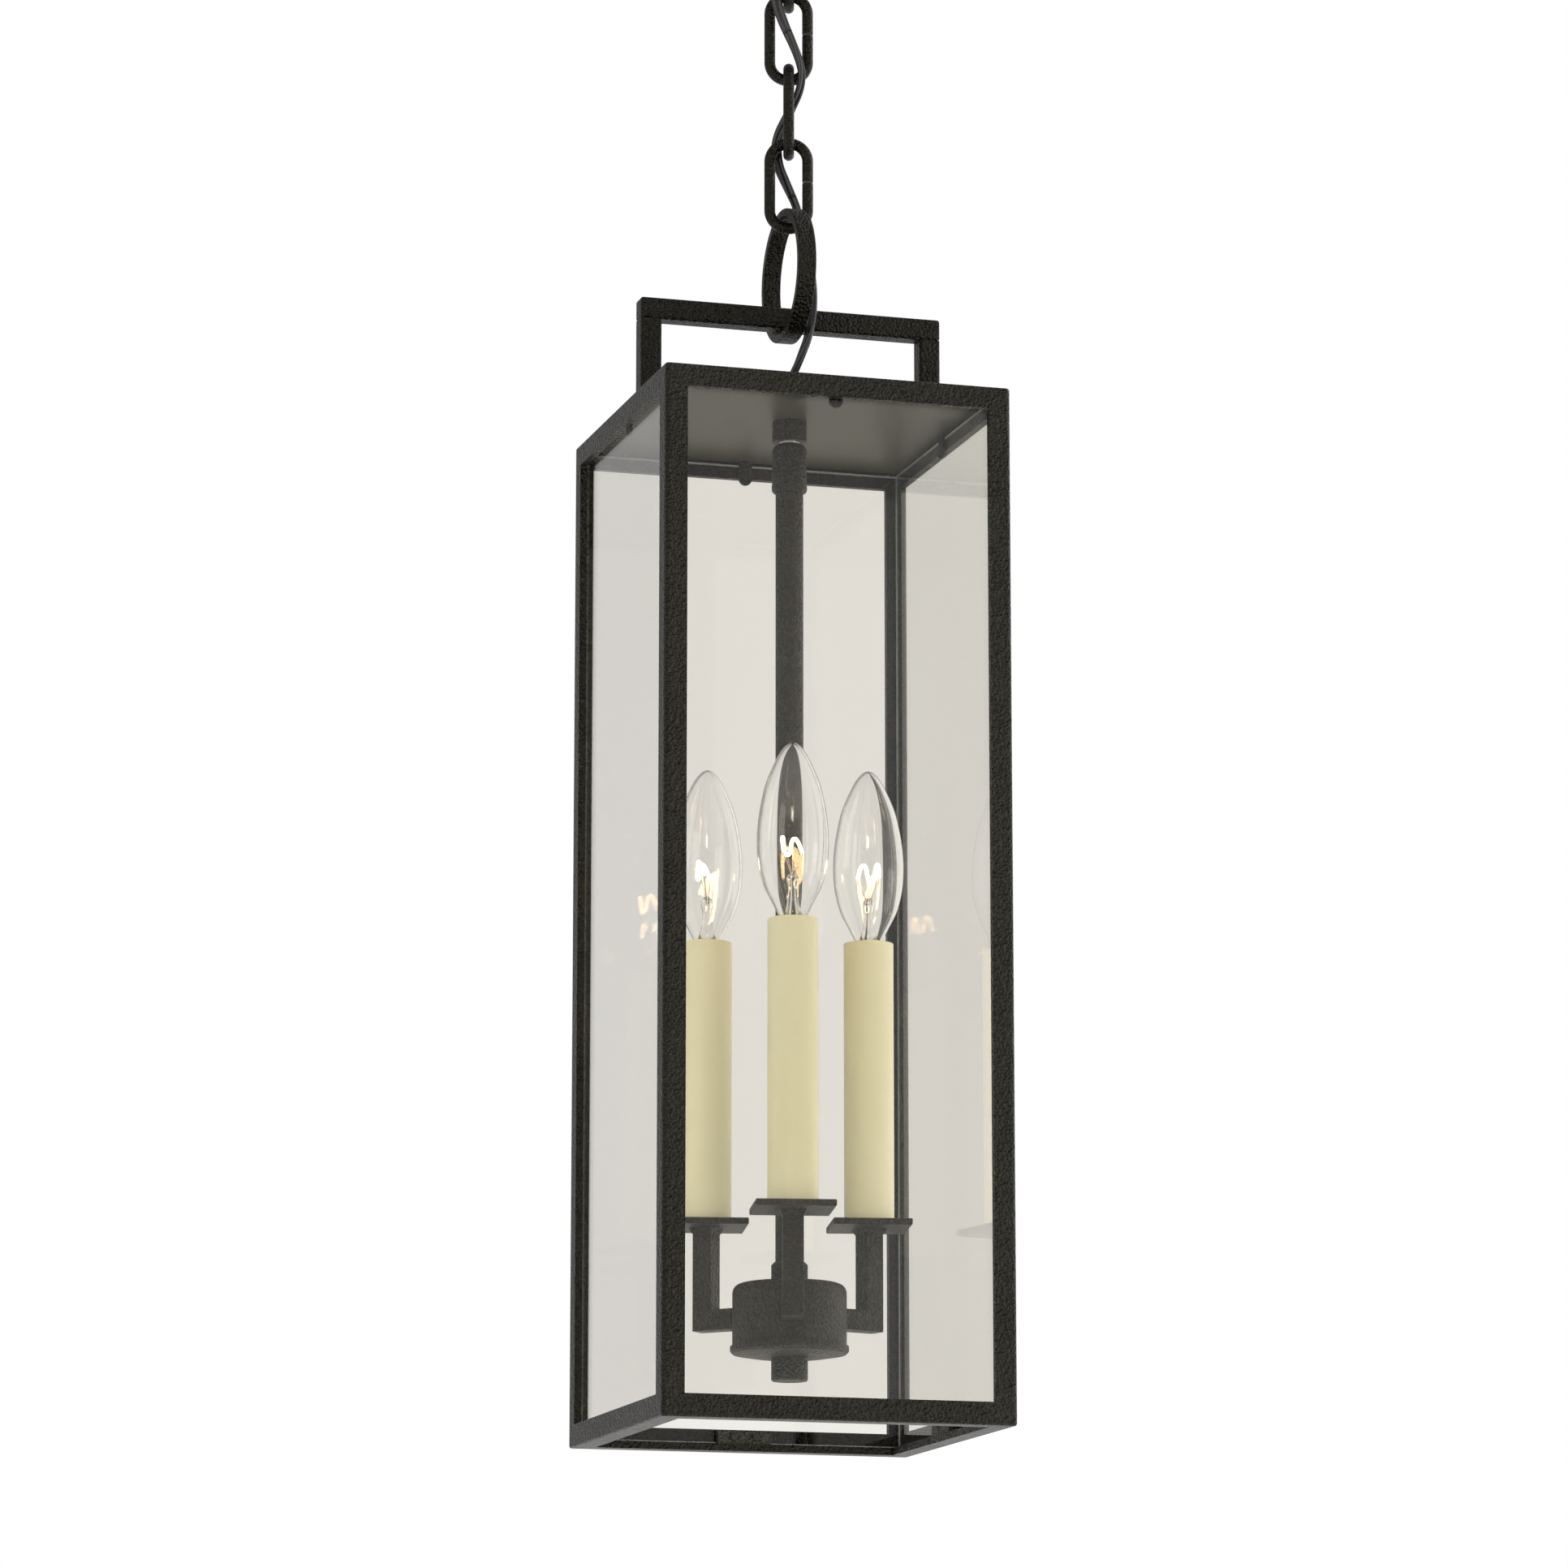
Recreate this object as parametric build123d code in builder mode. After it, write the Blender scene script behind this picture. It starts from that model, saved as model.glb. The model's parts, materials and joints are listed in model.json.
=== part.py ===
from build123d import *
from math import cos, pi, radians, sin, sqrt
import os

# A square hanging lantern with four glass panes, three candle lamps on a stem, a bail handle, a ring,
# a short chain and a supply cord.
# Millimetres. +Z is up, +X runs right along the lantern's front and +Y to its back.
# The origin is the middle of the canopy's rim, on the ceiling. Inside the lantern, heights are counted
# from its bottom edge, and level() turns them into planes.

# ---- chain: oval links of round wire ----
wire = 5.2
link_length = 47.2
link_width = 23.2
link_count = 4
link_seam = 0.9            # open butt joint in each link's side
hang_gap = 0.15            # between two wires that hang in each other
chain_turn = 16.4          # every second link is turned this far about Z from the lantern's front, degrees
loop_crown = -66.0         # middle of the canopy loop's lowest wire
loop_bend = 11.6           # radius of the canopy loop, to the middle of its wire
loop_top = -33.0           # where the loop's wire ends inside its yoke

# ---- ceiling end ----
canopy_width = 120.0
canopy_depth = 22.0
canopy_sheet = 1.5
nipple_r = 4.8
nipple_bore = 3.2
nipple_foot = -36.0
yoke_bottom = -38.0
yoke_top = -28.0
yoke_mouth_r = 5.2         # the bore's countersunk lower end, where the cord leaves
crossbar_sheet = 2.5
crossbar_length = 112.0
slot_spacing = 79.4        # between the middles of the crossbar's two slots
slot_length = 24.0
slot_r = 2.4

# ---- hanging ring: flat strap ----
ring_outer = 32.0
ring_inner = 27.8
ring_width = 8.6
ring_rest = 4.35           # from the middle of the lowest link's wire up to the ring's inner face

# ---- lantern frame: steel angle ----
frame_width = 165.0
frame_height = 479.0
leg = 10.4                 # width of the angle's legs and of the top skirt
wall = 3.5                 # thickness of the angle
corner_round = 2.2
edge_round = 0.8
rail_round = 1.2
handle_round = 1.4
plate_thickness = 2.0
mitre_gap = 0.1
handle_bar_size = 10.2
handle_width = 147.0
handle_window = 42.7       # clear height under the handle's bar
handle_gap = 0.25          # between the bar's lower edges and the ring

# ---- glass ----
glass = 3.0
glass_clear = 0.1
glass_foot = wall + 0.1
glass_top = 475.0
tab_width = 6.4
tab_sheet = 1.2
tab_foot = 464.8
clip_width = 26.0
clip_height = 6.4
clip_depth = 3.4
clip_screw_spacing = 10.6

# ---- stem and swivel, heights from the lantern's bottom ----
collar_r = 8.1
collar_bottom = 467.2
stud_top = 487.0
stud_neck_r = 3.5
stud_bore = 2.3
ball_r = 5.3
ball_height = 455.0
swivel_top = 466.2
swivel_bottom = 446.9
swivel_lip = 442.7
lip_r = 8.3
lip_round = 1.6
swivel_round = 3.6
swivel_groove = 0.5
swivel_seat = 455.0
swivel_bore = 5.55
spigot_r = 5.5
spigot_top = 448.6
stem_r = 6.5
stem_bore = 4.0
stem_foot = 76.0

# ---- lamp cluster ----
neck_r = 8.4
neck_top = 80.0
drum_r = 26.2
drum_wall = 1.6
drum_top = 71.0
drum_bottom = 41.3
cap_r = 27.2
cap_bottom = 36.0
finial_r = 8.4
finial_bottom = 25.5
centre_nipple_foot = 30.0
arm_count = 3
arm_turn = 255.6           # azimuth of the first arm, degrees from +X
arm_bar = 9.6
arm_radius = 43.5          # from the stem's axis to the sleeves' axes
arm_bottom = 50.4
arm_bore = 2.5
arm_spigot_r = 4.0
bobeche_width = 36.6
bobeche_thickness = 3.0
bobeche_top = 101.2
bobeche_turn = -11.4       # the plates' turn about Z from the lantern's front, degrees
riser_r = 3.0
riser_bore = 1.6
riser_foot = 90.0
socket_r = 9.2
socket_bottom = 188.0
socket_top = 230.8
shell_bore = 6.1           # inside of the lampholder's screw shell
shell_bottom = 208.1
sleeve_r = 11.6
sleeve_wall = 1.3
sleeve_top = 231.9
lead_r = 0.9

# ---- bulbs ----
base_r = 5.85
base_core = 5.4
base_bottom = 212.6
base_top = 230.0
thread_pitch = 2.54
contact_tip = 210.2
bulb_wall = 0.7
bulb_tip = 314.2
bulb_neck_r = 5.9

# ---- supply cord ----
cord_r = 2.6               # half the flat lead's width

# ---- places that follow from the sizes above ----
link_pitch = link_length - 2 * wire - hang_gap
first_link = loop_crown + wire + hang_gap - (link_length - wire) / 2
last_crown = first_link - (link_count - 1) * link_pitch - (link_length - wire) / 2
ring_centre = last_crown + ring_rest - ring_inner
handle_under = ring_centre - sqrt(ring_inner**2 - (handle_bar_size / 2) ** 2) + handle_gap
lantern_bottom = handle_under - handle_window - frame_height
half = frame_width / 2
pane_outer = half - wall - glass_clear
pane_inner = pane_outer - glass
rail_bottom = frame_height - leg
plate_under = frame_height - plate_thickness
bobeche_bottom = bobeche_top - bobeche_thickness
sides = {"front": 0, "right": 90, "back": 180, "left": 270}

os.makedirs("parts", exist_ok=True)


def level(height):
    """A horizontal plane at a height above the lantern's bottom."""
    return Plane.XY.offset(lantern_bottom + height)


def side_plane(height, turn):
    """A horizontal plane at a height above the lantern's bottom, turned about the axis."""
    across = (cos(radians(turn)), sin(radians(turn)), 0)
    return Plane(origin=(0, 0, lantern_bottom + height), x_dir=across, z_dir=(0, 0, 1))


def hanging_plane(height, turn):
    """An upright plane on the chain's axis, at a height from the ceiling, whose own y points up."""
    across = (cos(radians(turn)), -sin(radians(turn)), 0)
    facing = (-sin(radians(turn)), -cos(radians(turn)), 0)
    return Plane(origin=(0, 0, height), x_dir=across, z_dir=facing)


def around_plane(height, turn, radius):
    """A horizontal plane on one lamp's axis, with its own x pointing away from the stem."""
    out = (cos(radians(turn)), sin(radians(turn)), 0)
    place = (radius * out[0], radius * out[1], lantern_bottom + height)
    return Plane(origin=place, x_dir=out, z_dir=(0, 0, 1))


def turned_piece(low, high, outer, inner, centre=(0, 0)):
    """A round bar or tube with an upright axis, between two heights."""
    with BuildPart() as piece:
        with BuildSketch(level(low)):
            with Locations(centre):
                Circle(outer)
                if inner > 0:
                    Circle(inner, mode=Mode.SUBTRACT)
        extrude(amount=high - low)
    return piece.part


def mitre_slits(low, high):
    """Thin upright slabs along the diagonals, which part a square ring at its mitres."""
    with BuildPart() as slits:
        with BuildSketch(level(low)):
            Rectangle(2 * frame_width, mitre_gap, rotation=45)
            Rectangle(2 * frame_width, mitre_gap, rotation=-45)
        extrude(amount=high - low)
    return slits.part


def lamp_axes():
    """The azimuth and the place of each lamp's axis."""
    for index in range(arm_count):
        turn = arm_turn + index * 360 / arm_count
        centre = (arm_radius * cos(radians(turn)), arm_radius * sin(radians(turn)))
        yield index + 1, turn, centre


def store(piece, name):
    """Names a finished piece and writes its file."""
    piece.part.label = name
    export_step(piece.part, f"parts/{name}.step")


# ================= ceiling end =================

with BuildPart() as canopy:
    with BuildSketch(Plane.XY.offset(-canopy_depth)):
        RectangleRounded(canopy_width, canopy_width, 5)
    extrude(amount=canopy_depth)
    fillet(canopy.faces().sort_by(Axis.Z)[0].edges(), 2.5)
    offset(amount=-canopy_sheet, openings=canopy.faces().sort_by(Axis.Z)[-1])
    with BuildSketch(Plane.XY.offset(-canopy_depth)):
        Circle(nipple_r + 0.4)
    extrude(amount=canopy_sheet, mode=Mode.SUBTRACT)
store(canopy, "canopy")

with BuildPart() as crossbar:
    with BuildSketch(Plane.XY.offset(-crossbar_sheet)):
        SlotOverall(crossbar_length, 20)
        Circle(nipple_r, mode=Mode.SUBTRACT)
        with Locations((-slot_spacing / 2, 0), (slot_spacing / 2, 0)):
            SlotOverall(slot_length, 2 * slot_r, mode=Mode.SUBTRACT)
        with Locations((17, 5)):
            Circle(1.8, mode=Mode.SUBTRACT)
    extrude(amount=crossbar_sheet)
store(crossbar, "crossbar")

with BuildPart() as canopy_nipple:
    with BuildSketch(Plane.XY.offset(nipple_foot)):
        Circle(nipple_r)
        Circle(nipple_bore, mode=Mode.SUBTRACT)
    extrude(amount=-nipple_foot)
store(canopy_nipple, "canopy_nipple")

with BuildPart() as canopy_locknut:
    with BuildSketch(Plane.XY.offset(-crossbar_sheet)):
        RegularPolygon(7, 6, major_radius=False)
        Circle(nipple_r, mode=Mode.SUBTRACT)
    extrude(amount=-3)
store(canopy_locknut, "canopy_locknut")

with BuildPart() as ground_screw:
    with BuildSketch(Plane.XY.offset(-crossbar_sheet)):
        with Locations((17, 5)):
            Circle(3.6)
    extrude(amount=-2)
    fillet(ground_screw.faces().sort_by(Axis.Z)[0].edges(), 0.8)
    with BuildSketch(Plane.XY.offset(-crossbar_sheet)):
        with Locations((17, 5)):
            Circle(1.75)
    extrude(amount=crossbar_sheet)
    with BuildSketch(Plane.XY.offset(-crossbar_sheet - 2)):
        with Locations((17, 5)):
            Rectangle(5, 0.9)
    extrude(amount=0.9, mode=Mode.SUBTRACT)
store(ground_screw, "ground_screw")

with BuildPart() as screw_collar:
    with BuildSketch(Plane.XY.offset(yoke_top)):
        Circle(13)
        Circle(nipple_r + 0.05, mode=Mode.SUBTRACT)
        with PolarLocations(13, 30):
            Circle(0.7, mode=Mode.SUBTRACT)
    extrude(amount=-canopy_depth - yoke_top)
store(screw_collar, "screw_collar")

with BuildPart() as canopy_loop:
    leg_length = loop_top - loop_crown - loop_bend
    with BuildLine(hanging_plane(loop_crown + loop_bend, chain_turn)) as loop_line:
        Line((-loop_bend, leg_length), (-loop_bend, 0))
        RadiusArc((-loop_bend, 0), (0, -loop_bend), -loop_bend)
        RadiusArc((0, -loop_bend), (loop_bend, 0), -loop_bend)
        Line((loop_bend, 0), (loop_bend, leg_length))
    with BuildSketch(Plane(origin=loop_line.line @ 0, z_dir=loop_line.line % 0)):
        Circle(wire / 2)
    sweep()
    with BuildSketch(Plane.XY.offset(yoke_bottom)):
        SlotOverall(2 * loop_bend + wire + 1, wire + 2, rotation=-chain_turn)
        Circle(8)
    extrude(amount=yoke_top - yoke_bottom)
    with BuildSketch(Plane.XY.offset(yoke_bottom)):
        Circle(nipple_bore)
    extrude(amount=yoke_top - yoke_bottom, mode=Mode.SUBTRACT)
    with BuildSketch(Plane.XY.offset(yoke_bottom)):
        Circle(yoke_mouth_r)
    extrude(amount=nipple_foot - yoke_bottom, taper=45, mode=Mode.SUBTRACT)
    with BuildSketch(Plane.XY.offset(nipple_foot)):
        Circle(nipple_r)
    extrude(amount=yoke_top - nipple_foot, mode=Mode.SUBTRACT)
store(canopy_loop, "canopy_loop")

# ================= chain and ring =================

bend = (link_width - wire) / 2
straight = (link_length - link_width) / 2
for index in range(link_count):
    upright = hanging_plane(first_link - index * link_pitch, chain_turn - 90 * ((index + 1) % 2))
    with BuildPart() as chain_link:
        with BuildLine(upright) as link_line:
            Line((-bend, 0), (-bend, straight))
            RadiusArc((-bend, straight), (0, straight + bend), bend)
            RadiusArc((0, straight + bend), (bend, straight), bend)
            Line((bend, straight), (bend, -straight))
            RadiusArc((bend, -straight), (0, -straight - bend), bend)
            RadiusArc((0, -straight - bend), (-bend, -straight), bend)
            Line((-bend, -straight), (-bend, 0))
        with BuildSketch(Plane(origin=link_line.line @ 0, z_dir=link_line.line % 0)):
            Circle(wire / 2)
        sweep()
        with BuildSketch(upright):
            with Locations((bend, 1.5)):
                Rectangle(2 * wire, link_seam)
        extrude(amount=wire, both=True, mode=Mode.SUBTRACT)
    store(chain_link, f"chain_link_{index + 1}")

with BuildPart() as hanging_ring:
    with BuildSketch(Plane.YZ):
        with Locations((0, ring_centre)):
            Circle(ring_outer)
            Circle(ring_inner, mode=Mode.SUBTRACT)
    extrude(amount=ring_width / 2, both=True)
    fillet(hanging_ring.edges(), edge_round)
store(hanging_ring, "hanging_ring")

# ================= lantern frame =================

post_turns = {"front_left": 0, "front_right": 90, "back_right": 180, "back_left": 270}
for corner, turn in post_turns.items():
    with BuildPart() as corner_post:
        with BuildSketch(side_plane(leg, turn)) as angle:
            Polygon(
                (-half, -half),
                (-half + leg, -half),
                (-half + leg, -half + wall),
                (-half + wall, -half + wall),
                (-half + wall, -half + leg),
                (-half, -half + leg),
                align=None,
            )
        extrude(amount=rail_bottom - leg)
        upright_edges = corner_post.edges().filter_by(Axis.Z).sort_by(
            lambda edge: edge.center().X ** 2 + edge.center().Y ** 2
        )
        fillet(upright_edges[-1], corner_round)
    store(corner_post, f"corner_post_{corner}")

with BuildPart() as bottom_rails:
    with BuildSketch(level(0)):
        RectangleRounded(frame_width, frame_width, corner_round)
        Rectangle(frame_width - 2 * leg, frame_width - 2 * leg, mode=Mode.SUBTRACT)
    extrude(amount=leg)
    with BuildSketch(level(wall)):
        Rectangle(frame_width - 2 * wall, frame_width - 2 * wall)
    extrude(amount=leg - wall, mode=Mode.SUBTRACT)
    fillet(bottom_rails.faces().sort_by(Axis.Z)[0].outer_wire().edges(), rail_round)
    add(mitre_slits(-1, leg + 1), mode=Mode.SUBTRACT)
store(bottom_rails, "bottom_rails")

with BuildPart() as top_rails:
    with BuildSketch(level(rail_bottom)):
        RectangleRounded(frame_width, frame_width, corner_round)
        Rectangle(frame_width - 2 * wall, frame_width - 2 * wall, mode=Mode.SUBTRACT)
    extrude(amount=leg)
    fillet(top_rails.faces().sort_by(Axis.Z)[-1].outer_wire().edges(), rail_round)
    add(mitre_slits(rail_bottom - 1, frame_height + 1), mode=Mode.SUBTRACT)
store(top_rails, "top_rails")

with BuildPart() as top_plate:
    with BuildSketch(level(plate_under)):
        Rectangle(frame_width - 2 * wall, frame_width - 2 * wall)
        Circle(nipple_r, mode=Mode.SUBTRACT)
    extrude(amount=plate_thickness)
store(top_plate, "top_plate")

handle_plane = Plane.XY.offset(handle_under)
with BuildPart() as handle_bar:
    with BuildSketch(handle_plane):
        Rectangle(handle_width, handle_bar_size)
    extrude(amount=handle_bar_size)
    fillet(handle_bar.edges(), handle_round)
store(handle_bar, "handle_bar")

with BuildPart() as handle_legs:
    with BuildSketch(level(frame_height)):
        with GridLocations(handle_width - handle_bar_size, 0, 2, 1):
            Rectangle(handle_bar_size, handle_bar_size)
    extrude(amount=handle_window)
    fillet(handle_legs.edges().filter_by(Axis.Z), handle_round)
store(handle_legs, "handle_legs")

# ================= glass and what holds it =================

for side, turn in sides.items():
    span = pane_outer if side in ("front", "back") else pane_inner - glass_clear
    with BuildPart() as pane:
        with BuildSketch(side_plane(glass_foot, turn)):
            with Locations((0, -(pane_outer + pane_inner) / 2)):
                Rectangle(2 * span, glass)
        extrude(amount=glass_top - glass_foot)
    store(pane, f"glass_{side}")

with BuildPart() as glass_tabs:
    for turn in sides.values():
        out = (sin(radians(turn)), -cos(radians(turn)), 0)
        upright = Plane(
            origin=tuple((pane_inner - glass_clear) * part for part in out),
            x_dir=(cos(radians(turn)), sin(radians(turn)), 0),
            z_dir=out,
        )
        with BuildSketch(upright):
            with Locations((0, lantern_bottom + tab_foot + tab_width / 2)):
                Circle(tab_width / 2)
            with Locations((0, lantern_bottom + (tab_foot + tab_width / 2 + plate_under) / 2)):
                Rectangle(tab_width, plate_under - tab_foot - tab_width / 2)
        extrude(amount=-tab_sheet)
store(glass_tabs, "glass_tabs")

with BuildPart() as glass_clips:
    for turn in sides.values():
        with BuildSketch(side_plane(wall, turn)):
            with Locations((0, -(pane_inner - glass_clear - clip_depth / 2))):
                Rectangle(clip_width, clip_depth)
        extrude(amount=clip_height)
    chamfer(glass_clips.faces().group_by(Axis.Z)[-1].edges(), 0.6)
store(glass_clips, "glass_clips")

with BuildPart() as clip_screws:
    for turn in sides.values():
        out = (sin(radians(turn)), -cos(radians(turn)), 0)
        upright = Plane(
            origin=tuple((pane_inner - glass_clear - clip_depth) * part for part in out),
            x_dir=(cos(radians(turn)), sin(radians(turn)), 0),
            z_dir=out,
        )
        with BuildSketch(upright):
            with Locations((0, lantern_bottom + wall + clip_height / 2)):
                with GridLocations(clip_screw_spacing, 0, 2, 1):
                    Circle(1.8)
        extrude(amount=-0.9, taper=14)
store(clip_screws, "clip_screws")

# ================= stem and swivel =================

with BuildPart() as stem_nut:
    with BuildSketch(level(frame_height)):
        RegularPolygon(7.5, 6, major_radius=False)
        Circle(nipple_r, mode=Mode.SUBTRACT)
    extrude(amount=5)
store(stem_nut, "stem_nut")

with BuildPart() as cord_grommet:
    with BuildSketch(level(stud_top)):
        Circle(6)
        Circle(cord_r + 0.3, mode=Mode.SUBTRACT)
    extrude(amount=3.5, taper=18)
store(cord_grommet, "cord_grommet")

with BuildPart() as stem_collar:
    add(turned_piece(collar_bottom, plate_under, collar_r, nipple_r))
store(stem_collar, "stem_collar")

with BuildPart() as swivel_stud:
    add(turned_piece(collar_bottom, stud_top, nipple_r, 0))
    add(turned_piece(ball_height, collar_bottom, stud_neck_r, 0))
    with Locations((0, 0, lantern_bottom + ball_height)):
        Sphere(ball_r)
    add(turned_piece(ball_height - ball_r, stud_top, stud_bore, 0), mode=Mode.SUBTRACT)
store(swivel_stud, "swivel_stud")

with BuildPart() as lip_bead:
    add(turned_piece(swivel_lip, swivel_bottom, lip_r, 0))
    fillet(lip_bead.faces().sort_by(Axis.Z)[0].edges(), lip_round)
    fillet(lip_bead.faces().sort_by(Axis.Z)[-1].edges(), swivel_groove)

with BuildPart() as swivel_body:
    add(turned_piece(swivel_bottom, swivel_top, collar_r, 0))
    fillet(swivel_body.faces().sort_by(Axis.Z)[-1].edges(), swivel_round)
    fillet(swivel_body.faces().sort_by(Axis.Z)[0].edges(), swivel_groove)
    add(lip_bead.part)
    add(turned_piece(swivel_lip, swivel_seat, swivel_bore, 0), mode=Mode.SUBTRACT)
    with Locations((0, 0, lantern_bottom + ball_height)):
        Sphere(ball_r + 0.1, mode=Mode.SUBTRACT)
    add(turned_piece(swivel_seat, swivel_top, stud_neck_r + 0.5, 0), mode=Mode.SUBTRACT)
store(swivel_body, "swivel_body")

with BuildPart() as stem_tube:
    add(turned_piece(stem_foot, swivel_lip - 0.1, stem_r, stem_bore))
    add(turned_piece(swivel_lip - 0.1, spigot_top, spigot_r, stem_bore))
store(stem_tube, "stem_tube")

# ================= lamp cluster =================

with BuildPart() as neck_collar:
    add(turned_piece(drum_top, neck_top, neck_r, 0))
    chamfer(neck_collar.faces().sort_by(Axis.Z)[-1].edges(), 1.4)
    add(turned_piece(stem_foot, neck_top, stem_r, 0), mode=Mode.SUBTRACT)
    add(turned_piece(drum_top, stem_foot, nipple_r, 0), mode=Mode.SUBTRACT)
store(neck_collar, "neck_collar")

with BuildPart() as cluster_body:
    with BuildSketch(Plane.XZ) as drum_section:
        with BuildLine():
            Polyline(
                (nipple_r, lantern_bottom + drum_top),
                (neck_r, lantern_bottom + drum_top),
                (drum_r - 5, lantern_bottom + drum_top - 0.9),
            )
            Spline(
                (drum_r - 5, lantern_bottom + drum_top - 0.9),
                (drum_r, lantern_bottom + drum_top - 6),
                tangents=((1, -0.07), (0, -1)),
            )
            Polyline(
                (drum_r, lantern_bottom + drum_top - 6),
                (drum_r, lantern_bottom + drum_bottom),
                (drum_r - drum_wall, lantern_bottom + drum_bottom),
                (drum_r - drum_wall, lantern_bottom + drum_top - 6.5),
                (drum_r - 5.5, lantern_bottom + drum_top - 2.6),
                (nipple_r, lantern_bottom + drum_top - 2.6),
                (nipple_r, lantern_bottom + drum_top),
            )
        make_face()
    revolve(axis=Axis.Z)
    for number, turn, centre in lamp_axes():
        out = (cos(radians(turn)), sin(radians(turn)), 0)
        arm_axis = Plane(origin=(0, 0, lantern_bottom + arm_bottom + arm_bar / 2), z_dir=out)
        with BuildSketch(arm_axis.offset(drum_r / 2)):
            Circle(arm_spigot_r)
        extrude(amount=drum_r, mode=Mode.SUBTRACT)
store(cluster_body, "cluster_body")

with BuildPart() as cluster_cap:
    with BuildSketch(Plane.XZ):
        with BuildLine():
            Polyline(
                (nipple_r, lantern_bottom + cap_bottom),
                (cap_r - 9, lantern_bottom + cap_bottom + 0.5),
                (cap_r - 1.2, lantern_bottom + cap_bottom + 1.8),
                (cap_r, lantern_bottom + cap_bottom + 3),
                (cap_r, lantern_bottom + drum_bottom),
                (cap_r - 1.6, lantern_bottom + drum_bottom),
                (cap_r - 1.6, lantern_bottom + cap_bottom + 3.2),
                (nipple_r, lantern_bottom + cap_bottom + 2),
                (nipple_r, lantern_bottom + cap_bottom),
            )
        make_face()
    revolve(axis=Axis.Z)
store(cluster_cap, "cluster_cap")

with BuildPart() as finial:
    add(turned_piece(finial_bottom, cap_bottom, finial_r, 0))
    chamfer(finial.faces().sort_by(Axis.Z)[0].edges(), 0.6)
    add(turned_piece(centre_nipple_foot, cap_bottom, nipple_r, 0), mode=Mode.SUBTRACT)
store(finial, "finial")

with BuildPart() as centre_nipple:
    add(turned_piece(centre_nipple_foot, stem_foot, nipple_r, nipple_bore))
store(centre_nipple, "centre_nipple")

for number, turn, centre in lamp_axes():
    out = (cos(radians(turn)), sin(radians(turn)), 0)
    arm_height = lantern_bottom + arm_bottom + arm_bar / 2
    arm_axis = Plane(origin=(0, 0, arm_height), x_dir=(-out[1], out[0], 0), z_dir=out)
    with BuildPart() as arm:
        with BuildSketch(arm_axis.offset(drum_r - 3)):
            Rectangle(arm_bar, arm_bar)
        extrude(amount=arm_radius + arm_bar / 2 - drum_r + 3)
        with BuildSketch(around_plane(arm_bottom, turn, arm_radius)):
            Rectangle(arm_bar, arm_bar)
        extrude(amount=bobeche_bottom - arm_bottom)
        fillet(arm.edges().filter_by(Axis.Z), 0.7)
        with BuildSketch(around_plane(bobeche_bottom, turn, arm_radius)):
            Rectangle(arm_bar + 2.4, arm_bar + 2.4)
        extrude(amount=-2.6, taper=24)
        add(turned_piece(arm_bottom - 1, drum_top + 5, drum_r, 0), mode=Mode.SUBTRACT)
        with BuildSketch(arm_axis.offset(drum_r - drum_wall - 2.5)):
            Circle(arm_spigot_r)
        extrude(amount=drum_wall + 4)
        with BuildSketch(arm_axis.offset(drum_r - drum_wall - 3)):
            Circle(arm_bore)
        extrude(amount=arm_radius - drum_r + drum_wall + 3, mode=Mode.SUBTRACT)
        add(turned_piece(arm_bottom + arm_bar / 2, bobeche_bottom + 1, arm_bore, 0, centre), mode=Mode.SUBTRACT)
        add(turned_piece(riser_foot, bobeche_bottom + 1, riser_r, 0, centre), mode=Mode.SUBTRACT)
    store(arm, f"arm_{number}")

    with BuildPart() as bobeche:
        with BuildSketch(level(bobeche_bottom)):
            with Locations(Location((*centre, 0), (0, 0, bobeche_turn))):
                Rectangle(bobeche_width, bobeche_width)
        extrude(amount=bobeche_thickness)
        chamfer(bobeche.edges(), 0.4)
        add(turned_piece(bobeche_bottom - 1, bobeche_top + 1, riser_r, 0, centre), mode=Mode.SUBTRACT)
    store(bobeche, f"bobeche_{number}")

    with BuildPart() as sleeve:
        add(turned_piece(bobeche_top, sleeve_top, sleeve_r, sleeve_r - sleeve_wall, centre))
        fillet(sleeve.faces().sort_by(Axis.Z)[-1].outer_wire().edges(), 0.4)
    store(sleeve, f"sleeve_{number}")

with BuildPart() as socket_risers:
    for number, turn, centre in lamp_axes():
        add(turned_piece(riser_foot, socket_bottom + 4, riser_r, riser_bore, centre))
store(socket_risers, "socket_risers")

with BuildPart() as sockets:
    for number, turn, centre in lamp_axes():
        add(turned_piece(socket_bottom, socket_top, socket_r, 0, centre))
        add(turned_piece(shell_bottom, socket_top, shell_bore, 0, centre), mode=Mode.SUBTRACT)
        add(turned_piece(socket_bottom, socket_bottom + 4, riser_r, 0, centre), mode=Mode.SUBTRACT)
        add(turned_piece(socket_bottom, shell_bottom, riser_bore, 0, centre), mode=Mode.SUBTRACT)
store(sockets, "sockets")

with BuildPart() as lamp_leads:
    add(turned_piece(centre_nipple_foot + 10, spigot_top - 1, 1.8, 0))
    for number, turn, centre in lamp_axes():
        out = (cos(radians(turn)), sin(radians(turn)), 0)
        lead_height = arm_bottom + arm_bar / 2
        lead_plane = Plane(
            origin=(0, 0, lantern_bottom + lead_height), x_dir=out, z_dir=(out[1], -out[0], 0)
        )
        with BuildLine(lead_plane) as lead_line:
            FilletPolyline(
                (8, 0),
                (arm_radius, 0),
                (arm_radius, socket_bottom - lead_height - 2),
                radius=4,
            )
        with BuildSketch(Plane(origin=lead_line.line @ 0, z_dir=lead_line.line % 0)):
            Circle(lead_r)
        sweep(path=lead_line.line)
store(lamp_leads, "lamp_leads")

# ================= bulbs =================


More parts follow.
